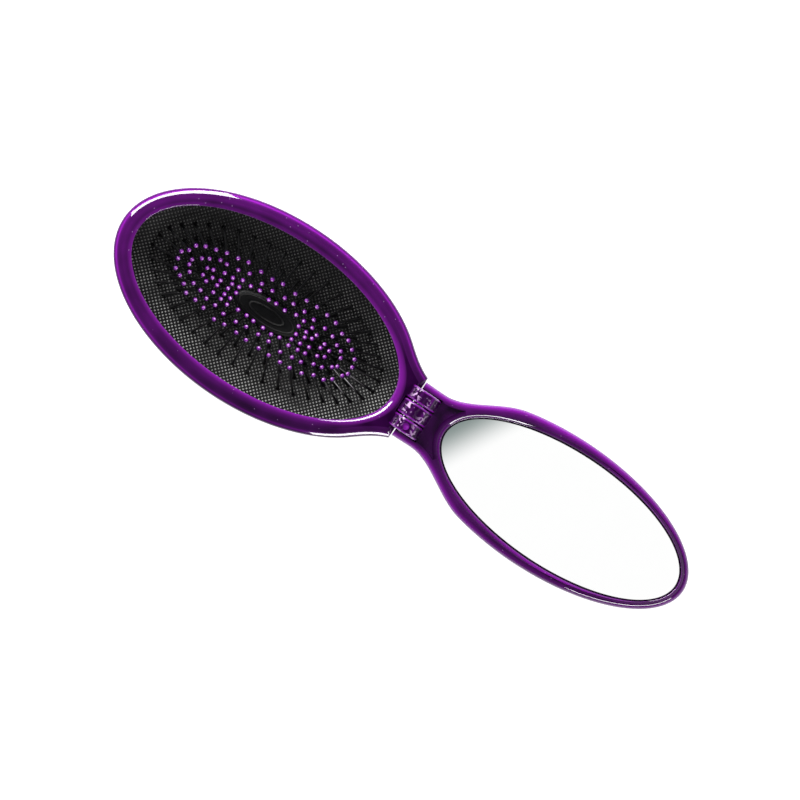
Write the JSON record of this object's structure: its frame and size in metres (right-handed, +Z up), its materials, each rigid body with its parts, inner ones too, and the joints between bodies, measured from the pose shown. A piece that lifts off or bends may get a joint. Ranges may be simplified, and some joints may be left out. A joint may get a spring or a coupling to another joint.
{
  "type": "folding hairbrush with mirror",
  "caption": "Pocket hairbrush that folds in half: oval brush head with a push-in rubber pad of ball-tipped bristles, hinged at the neck to an oval mirror half.",
  "frame": {"origin": "middle of the footprint, on the plane that the back of the head rests on", "axes": "+X along the brush from the head to the mirror half, +Y across it, +Z up out of the bristle and mirror side"},
  "size_m": [0.216, 0.0632, 0.0254],
  "materials": {
    "head_shell": "gloss",
    "mirror_shell": "gloss",
    "clamp_ring": "satin",
    "pad_rubber": "fine fabric texture",
    "pad_boss": "satin",
    "bristles": "gloss",
    "hinge_pin": "bright",
    "mirror": "polished",
    "foam_tape": "matte"
  },
  "bodies": {
    "head": {"head_frame": "head_shell", "clamp_ring": "clamp_ring", "bristle_pad": "pad_rubber", "hinge_pin": "hinge_pin"},
    "mirror": {"mirror_frame": "mirror_shell", "mirror_cover": "mirror_shell", "mirror_glass": "mirror", "foam_tape": "foam_tape"},
    "pad_middle": {"pad_boss": "pad_boss"},
    "tuft_outer_1": {"bristles_outer_1": "bristles"},
    "tuft_outer_2": {"bristles_outer_2": "bristles"},
    "tuft_outer_3": {"bristles_outer_3": "bristles"},
    "tuft_outer_4": {"bristles_outer_4": "bristles"},
    "tuft_outer_5": {"bristles_outer_5": "bristles"},
    "tuft_outer_6": {"bristles_outer_6": "bristles"},
    "tuft_outer_7": {"bristles_outer_7": "bristles"},
    "tuft_outer_8": {"bristles_outer_8": "bristles"},
    "tuft_outer_9": {"bristles_outer_9": "bristles"},
    "tuft_outer_10": {"bristles_outer_10": "bristles"},
    "tuft_outer_11": {"bristles_outer_11": "bristles"},
    "tuft_outer_12": {"bristles_outer_12": "bristles"},
    "tuft_outer_13": {"bristles_outer_13": "bristles"},
    "tuft_outer_14": {"bristles_outer_14": "bristles"},
    "tuft_outer_15": {"bristles_outer_15": "bristles"},
    "tuft_outer_16": {"bristles_outer_16": "bristles"},
    "tuft_middle_1": {"bristles_middle_1": "bristles"},
    "tuft_middle_2": {"bristles_middle_2": "bristles"},
    "tuft_middle_3": {"bristles_middle_3": "bristles"},
    "tuft_middle_4": {"bristles_middle_4": "bristles"},
    "tuft_middle_5": {"bristles_middle_5": "bristles"},
    "tuft_middle_6": {"bristles_middle_6": "bristles"},
    "tuft_middle_7": {"bristles_middle_7": "bristles"},
    "tuft_middle_8": {"bristles_middle_8": "bristles"},
    "tuft_middle_9": {"bristles_middle_9": "bristles"},
    "tuft_middle_10": {"bristles_middle_10": "bristles"},
    "tuft_middle_11": {"bristles_middle_11": "bristles"},
    "tuft_middle_12": {"bristles_middle_12": "bristles"},
    "tuft_middle_13": {"bristles_middle_13": "bristles"},
    "tuft_middle_14": {"bristles_middle_14": "bristles"},
    "tuft_inner_1": {"bristles_inner_1": "bristles"},
    "tuft_inner_2": {"bristles_inner_2": "bristles"},
    "tuft_inner_3": {"bristles_inner_3": "bristles"},
    "tuft_inner_4": {"bristles_inner_4": "bristles"},
    "tuft_inner_5": {"bristles_inner_5": "bristles"},
    "tuft_inner_6": {"bristles_inner_6": "bristles"},
    "tuft_inner_7": {"bristles_inner_7": "bristles"},
    "tuft_inner_8": {"bristles_inner_8": "bristles"},
    "tuft_inner_9": {"bristles_inner_9": "bristles"},
    "tuft_inner_10": {"bristles_inner_10": "bristles"},
    "tuft_end_hinge": {"bristles_end_hinge": "bristles"},
    "tuft_end_far": {"bristles_end_far": "bristles"}
  },
  "joints": [
    {"name": "fold", "type": "hinge", "parent": "head", "child": "mirror", "pos_m": [0.0045, 0, 0.02015], "axis": [0, -1, 0], "range_deg": [0, 180]},
    {"name": "pad_pop", "type": "slide", "parent": "head", "child": "pad_middle", "axis": [0, 0, -1], "range_m": [-0.028, 0], "deforming": ["bristle_pad", "pad_boss"]},
    {"name": "spread_outer_1", "type": "hinge", "parent": "head", "child": "tuft_outer_1", "pos_m": [-0.00396, 0, 0.01667], "axis": [0, -1, 0], "range_deg": [-85.5, 0.5], "deforming": ["bristles_outer_1"]},
    {"name": "spread_outer_2", "type": "hinge", "parent": "head", "child": "tuft_outer_2", "pos_m": [-0.00834, 0.01131, 0.01667], "axis": [0.6448, -0.7643, 0], "range_deg": [-85.5, 0.5], "deforming": ["bristles_outer_2"]},
    {"name": "spread_outer_3", "type": "hinge", "parent": "head", "child": "tuft_outer_3", "pos_m": [-0.01687, 0.01814, 0.01667], "axis": [0.8718, -0.4899, 0], "range_deg": [-85.5, 0.5], "deforming": ["bristles_outer_3"]},
    {"name": "spread_outer_4", "type": "hinge", "parent": "head", "child": "tuft_outer_4", "pos_m": [-0.02984, 0.02319, 0.01667], "axis": [0.9653, -0.2612, 0], "range_deg": [-85.5, 0.5], "deforming": ["bristles_outer_4"]},
    {"name": "spread_outer_5", "type": "hinge", "parent": "head", "child": "tuft_outer_5", "pos_m": [-0.0532, 0.02591, 0.01667], "axis": [1, 0, 0], "range_deg": [-85.5, 0.5], "deforming": ["bristles_outer_5"]},
    {"name": "spread_outer_6", "type": "hinge", "parent": "head", "child": "tuft_outer_6", "pos_m": [-0.07656, 0.02319, 0.01667], "axis": [0.9653, 0.2612, 0], "range_deg": [-85.5, 0.5], "deforming": ["bristles_outer_6"]},
    {"name": "spread_outer_7", "type": "hinge", "parent": "head", "child": "tuft_outer_7", "pos_m": [-0.08953, 0.01814, 0.01667], "axis": [0.8718, 0.4899, 0], "range_deg": [-85.5, 0.5], "deforming": ["bristles_outer_7"]},
    {"name": "spread_outer_8", "type": "hinge", "parent": "head", "child": "tuft_outer_8", "pos_m": [-0.09806, 0.01131, 0.01667], "axis": [0.6448, 0.7643, 0], "range_deg": [-85.5, 0.5], "deforming": ["bristles_outer_8"]},
    {"name": "spread_outer_9", "type": "hinge", "parent": "head", "child": "tuft_outer_9", "pos_m": [-0.10244, 0, 0.01667], "axis": [0, 1, 0], "range_deg": [-85.5, 0.5], "deforming": ["bristles_outer_9"]},
    {"name": "spread_outer_10", "type": "hinge", "parent": "head", "child": "tuft_outer_10", "pos_m": [-0.09806, -0.01131, 0.01667], "axis": [-0.6448, 0.7643, 0], "range_deg": [-85.5, 0.5], "deforming": ["bristles_outer_10"]},
    {"name": "spread_outer_11", "type": "hinge", "parent": "head", "child": "tuft_outer_11", "pos_m": [-0.08953, -0.01814, 0.01667], "axis": [-0.8718, 0.4899, 0], "range_deg": [-85.5, 0.5], "deforming": ["bristles_outer_11"]},
    {"name": "spread_outer_12", "type": "hinge", "parent": "head", "child": "tuft_outer_12", "pos_m": [-0.07656, -0.02319, 0.01667], "axis": [-0.9653, 0.2612, 0], "range_deg": [-85.5, 0.5], "deforming": ["bristles_outer_12"]},
    {"name": "spread_outer_13", "type": "hinge", "parent": "head", "child": "tuft_outer_13", "pos_m": [-0.0532, -0.02591, 0.01667], "axis": [-1, 0, 0], "range_deg": [-85.5, 0.5], "deforming": ["bristles_outer_13"]},
    {"name": "spread_outer_14", "type": "hinge", "parent": "head", "child": "tuft_outer_14", "pos_m": [-0.02984, -0.02319, 0.01667], "axis": [-0.9653, -0.2612, 0], "range_deg": [-85.5, 0.5], "deforming": ["bristles_outer_14"]},
    {"name": "spread_outer_15", "type": "hinge", "parent": "head", "child": "tuft_outer_15", "pos_m": [-0.01687, -0.01814, 0.01667], "axis": [-0.8718, -0.4899, 0], "range_deg": [-85.5, 0.5], "deforming": ["bristles_outer_15"]},
    {"name": "spread_outer_16", "type": "hinge", "parent": "head", "child": "tuft_outer_16", "pos_m": [-0.00834, -0.01131, 0.01667], "axis": [-0.6448, -0.7643, 0], "range_deg": [-85.5, 0.5], "deforming": ["bristles_outer_16"]},
    {"name": "spread_middle_1", "type": "hinge", "parent": "head", "child": "tuft_middle_1", "pos_m": [0.00314, 0, 0.01829], "axis": [0, -1, 0], "range_deg": [-62.5, 0.5], "deforming": ["bristles_middle_1"]},
    {"name": "spread_middle_2", "type": "hinge", "parent": "head", "child": "tuft_middle_2", "pos_m": [-0.00762, 0.02114, 0.01829], "axis": [0.7822, -0.623, 0], "range_deg": [-62.5, 0.5], "deforming": ["bristles_middle_2"]},
    {"name": "spread_middle_3", "type": "hinge", "parent": "head", "child": "tuft_middle_3", "pos_m": [-0.02374, 0.02918, 0.01829], "axis": [0.9539, -0.3002, 0], "range_deg": [-62.5, 0.5], "deforming": ["bristles_middle_3"]},
    {"name": "spread_middle_4", "type": "hinge", "parent": "head", "child": "tuft_middle_4", "pos_m": [-0.04655, 0.03304, 0.01829], "axis": [0.9983, -0.0575, 0], "range_deg": [-62.5, 0.5], "deforming": ["bristles_middle_4"]},
    {"name": "spread_middle_5", "type": "hinge", "parent": "head", "child": "tuft_middle_5", "pos_m": [-0.06979, 0.03211, 0.01829], "axis": [0.9888, 0.149, 0], "range_deg": [-62.5, 0.5], "deforming": ["bristles_middle_5"]},
    {"name": "spread_middle_6", "type": "hinge", "parent": "head", "child": "tuft_middle_6", "pos_m": [-0.08591, 0.02817, 0.01829], "axis": [0.9379, 0.347, 0], "range_deg": [-62.5, 0.5], "deforming": ["bristles_middle_6"]},
    {"name": "spread_middle_7", "type": "hinge", "parent": "head", "child": "tuft_middle_7", "pos_m": [-0.09878, 0.02114, 0.01829], "axis": [0.7822, 0.623, 0], "range_deg": [-62.5, 0.5], "deforming": ["bristles_middle_7"]},
    {"name": "spread_middle_8", "type": "hinge", "parent": "head", "child": "tuft_middle_8", "pos_m": [-0.10954, 0, 0.01829], "axis": [0, 1, 0], "range_deg": [-62.5, 0.5], "deforming": ["bristles_middle_8"]},
    {"name": "spread_middle_9", "type": "hinge", "parent": "head", "child": "tuft_middle_9", "pos_m": [-0.09878, -0.02114, 0.01829], "axis": [-0.7822, 0.623, 0], "range_deg": [-62.5, 0.5], "deforming": ["bristles_middle_9"]},
    {"name": "spread_middle_10", "type": "hinge", "parent": "head", "child": "tuft_middle_10", "pos_m": [-0.08266, -0.02918, 0.01829], "axis": [-0.9539, 0.3002, 0], "range_deg": [-62.5, 0.5], "deforming": ["bristles_middle_10"]},
    {"name": "spread_middle_11", "type": "hinge", "parent": "head", "child": "tuft_middle_11", "pos_m": [-0.05985, -0.03304, 0.01829], "axis": [-0.9983, 0.0575, 0], "range_deg": [-62.5, 0.5], "deforming": ["bristles_middle_11"]},
    {"name": "spread_middle_12", "type": "hinge", "parent": "head", "child": "tuft_middle_12", "pos_m": [-0.03661, -0.03211, 0.01829], "axis": [-0.9888, -0.149, 0], "range_deg": [-62.5, 0.5], "deforming": ["bristles_middle_12"]},
    {"name": "spread_middle_13", "type": "hinge", "parent": "head", "child": "tuft_middle_13", "pos_m": [-0.02049, -0.02817, 0.01829], "axis": [-0.9379, -0.347, 0], "range_deg": [-62.5, 0.5], "deforming": ["bristles_middle_13"]},
    {"name": "spread_middle_14", "type": "hinge", "parent": "head", "child": "tuft_middle_14", "pos_m": [-0.00762, -0.02114, 0.01829], "axis": [-0.7822, -0.623, 0], "range_deg": [-62.5, 0.5], "deforming": ["bristles_middle_14"]},
    {"name": "spread_inner_1", "type": "hinge", "parent": "head", "child": "tuft_inner_1", "pos_m": [0.02547, 0, 0.01791], "axis": [0, -1, 0], "range_deg": [-32.5, 0.5], "deforming": ["bristles_inner_1"]},
    {"name": "spread_inner_2", "type": "hinge", "parent": "head", "child": "tuft_inner_2", "pos_m": [-0.01626, 0.05141, 0.01791], "axis": [0.9583, -0.2859, 0], "range_deg": [-32.5, 0.5], "deforming": ["bristles_inner_2"]},
    {"name": "spread_inner_3", "type": "hinge", "parent": "head", "child": "tuft_inner_3", "pos_m": [-0.04714, 0.05595, 0.01791], "axis": [0.9993, -0.0375, 0], "range_deg": [-32.5, 0.5], "deforming": ["bristles_inner_3"]},
    {"name": "spread_inner_4", "type": "hinge", "parent": "head", "child": "tuft_inner_4", "pos_m": [-0.07497, 0.05473, 0.01791], "axis": [0.9897, 0.1431, 0], "range_deg": [-32.5, 0.5], "deforming": ["bristles_inner_4"]},
    {"name": "spread_inner_5", "type": "hinge", "parent": "head", "child": "tuft_inner_5", "pos_m": [-0.09482, 0.04997, 0.01791], "axis": [0.9402, 0.3406, 0], "range_deg": [-32.5, 0.5], "deforming": ["bristles_inner_5"]},
    {"name": "spread_inner_6", "type": "hinge", "parent": "head", "child": "tuft_inner_6", "pos_m": [-0.13187, 0, 0.01791], "axis": [0, 1, 0], "range_deg": [-32.5, 0.5], "deforming": ["bristles_inner_6"]},
    {"name": "spread_inner_7", "type": "hinge", "parent": "head", "child": "tuft_inner_7", "pos_m": [-0.09014, -0.05141, 0.01791], "axis": [-0.9583, 0.2859, 0], "range_deg": [-32.5, 0.5], "deforming": ["bristles_inner_7"]},
    {"name": "spread_inner_8", "type": "hinge", "parent": "head", "child": "tuft_inner_8", "pos_m": [-0.05926, -0.05595, 0.01791], "axis": [-0.9993, 0.0375, 0], "range_deg": [-32.5, 0.5], "deforming": ["bristles_inner_8"]},
    {"name": "spread_inner_9", "type": "hinge", "parent": "head", "child": "tuft_inner_9", "pos_m": [-0.03143, -0.05473, 0.01791], "axis": [-0.9897, -0.1431, 0], "range_deg": [-32.5, 0.5], "deforming": ["bristles_inner_9"]},
    {"name": "spread_inner_10", "type": "hinge", "parent": "head", "child": "tuft_inner_10", "pos_m": [-0.01158, -0.04997, 0.01791], "axis": [-0.9402, -0.3406, 0], "range_deg": [-32.5, 0.5], "deforming": ["bristles_inner_10"]},
    {"name": "spread_end_hinge", "type": "hinge", "parent": "head", "child": "tuft_end_hinge", "pos_m": [0.01819, 0, 0.01728], "axis": [0, -1, 0], "range_deg": [-30.5, 0.5], "deforming": ["bristles_end_hinge"]},
    {"name": "spread_end_far", "type": "hinge", "parent": "head", "child": "tuft_end_far", "pos_m": [-0.12459, 0, 0.01728], "axis": [0, 1, 0], "range_deg": [-30.5, 0.5], "deforming": ["bristles_end_far"]}
  ],
  "couplings": [
    {"joint": "spread_outer_1", "follows": "pad_pop", "rad_per_m": 52.983},
    {"joint": "spread_outer_2", "follows": "pad_pop", "rad_per_m": 52.983},
    {"joint": "spread_outer_3", "follows": "pad_pop", "rad_per_m": 52.983},
    {"joint": "spread_outer_4", "follows": "pad_pop", "rad_per_m": 52.983},
    {"joint": "spread_outer_5", "follows": "pad_pop", "rad_per_m": 52.983},
    {"joint": "spread_outer_6", "follows": "pad_pop", "rad_per_m": 52.983},
    {"joint": "spread_outer_7", "follows": "pad_pop", "rad_per_m": 52.983},
    {"joint": "spread_outer_8", "follows": "pad_pop", "rad_per_m": 52.983},
    {"joint": "spread_outer_9", "follows": "pad_pop", "rad_per_m": 52.983},
    {"joint": "spread_outer_10", "follows": "pad_pop", "rad_per_m": 52.983},
    {"joint": "spread_outer_11", "follows": "pad_pop", "rad_per_m": 52.983},
    {"joint": "spread_outer_12", "follows": "pad_pop", "rad_per_m": 52.983},
    {"joint": "spread_outer_13", "follows": "pad_pop", "rad_per_m": 52.983},
    {"joint": "spread_outer_14", "follows": "pad_pop", "rad_per_m": 52.983},
    {"joint": "spread_outer_15", "follows": "pad_pop", "rad_per_m": 52.983},
    {"joint": "spread_outer_16", "follows": "pad_pop", "rad_per_m": 52.983},
    {"joint": "spread_middle_1", "follows": "pad_pop", "rad_per_m": 38.647},
    {"joint": "spread_middle_2", "follows": "pad_pop", "rad_per_m": 38.647},
    {"joint": "spread_middle_3", "follows": "pad_pop", "rad_per_m": 38.647},
    {"joint": "spread_middle_4", "follows": "pad_pop", "rad_per_m": 38.647},
    {"joint": "spread_middle_5", "follows": "pad_pop", "rad_per_m": 38.647},
    {"joint": "spread_middle_6", "follows": "pad_pop", "rad_per_m": 38.647},
    {"joint": "spread_middle_7", "follows": "pad_pop", "rad_per_m": 38.647},
    {"joint": "spread_middle_8", "follows": "pad_pop", "rad_per_m": 38.647},
    {"joint": "spread_middle_9", "follows": "pad_pop", "rad_per_m": 38.647},
    {"joint": "spread_middle_10", "follows": "pad_pop", "rad_per_m": 38.647},
    {"joint": "spread_middle_11", "follows": "pad_pop", "rad_per_m": 38.647},
    {"joint": "spread_middle_12", "follows": "pad_pop", "rad_per_m": 38.647},
    {"joint": "spread_middle_13", "follows": "pad_pop", "rad_per_m": 38.647},
    {"joint": "spread_middle_14", "follows": "pad_pop", "rad_per_m": 38.647},
    {"joint": "spread_inner_1", "follows": "pad_pop", "rad_per_m": 19.947},
    {"joint": "spread_inner_2", "follows": "pad_pop", "rad_per_m": 19.947},
    {"joint": "spread_inner_3", "follows": "pad_pop", "rad_per_m": 19.947},
    {"joint": "spread_inner_4", "follows": "pad_pop", "rad_per_m": 19.947},
    {"joint": "spread_inner_5", "follows": "pad_pop", "rad_per_m": 19.947},
    {"joint": "spread_inner_6", "follows": "pad_pop", "rad_per_m": 19.947},
    {"joint": "spread_inner_7", "follows": "pad_pop", "rad_per_m": 19.947},
    {"joint": "spread_inner_8", "follows": "pad_pop", "rad_per_m": 19.947},
    {"joint": "spread_inner_9", "follows": "pad_pop", "rad_per_m": 19.947},
    {"joint": "spread_inner_10", "follows": "pad_pop", "rad_per_m": 19.947},
    {"joint": "spread_end_hinge", "follows": "pad_pop", "rad_per_m": 18.7},
    {"joint": "spread_end_far", "follows": "pad_pop", "rad_per_m": 18.7}
  ]
}
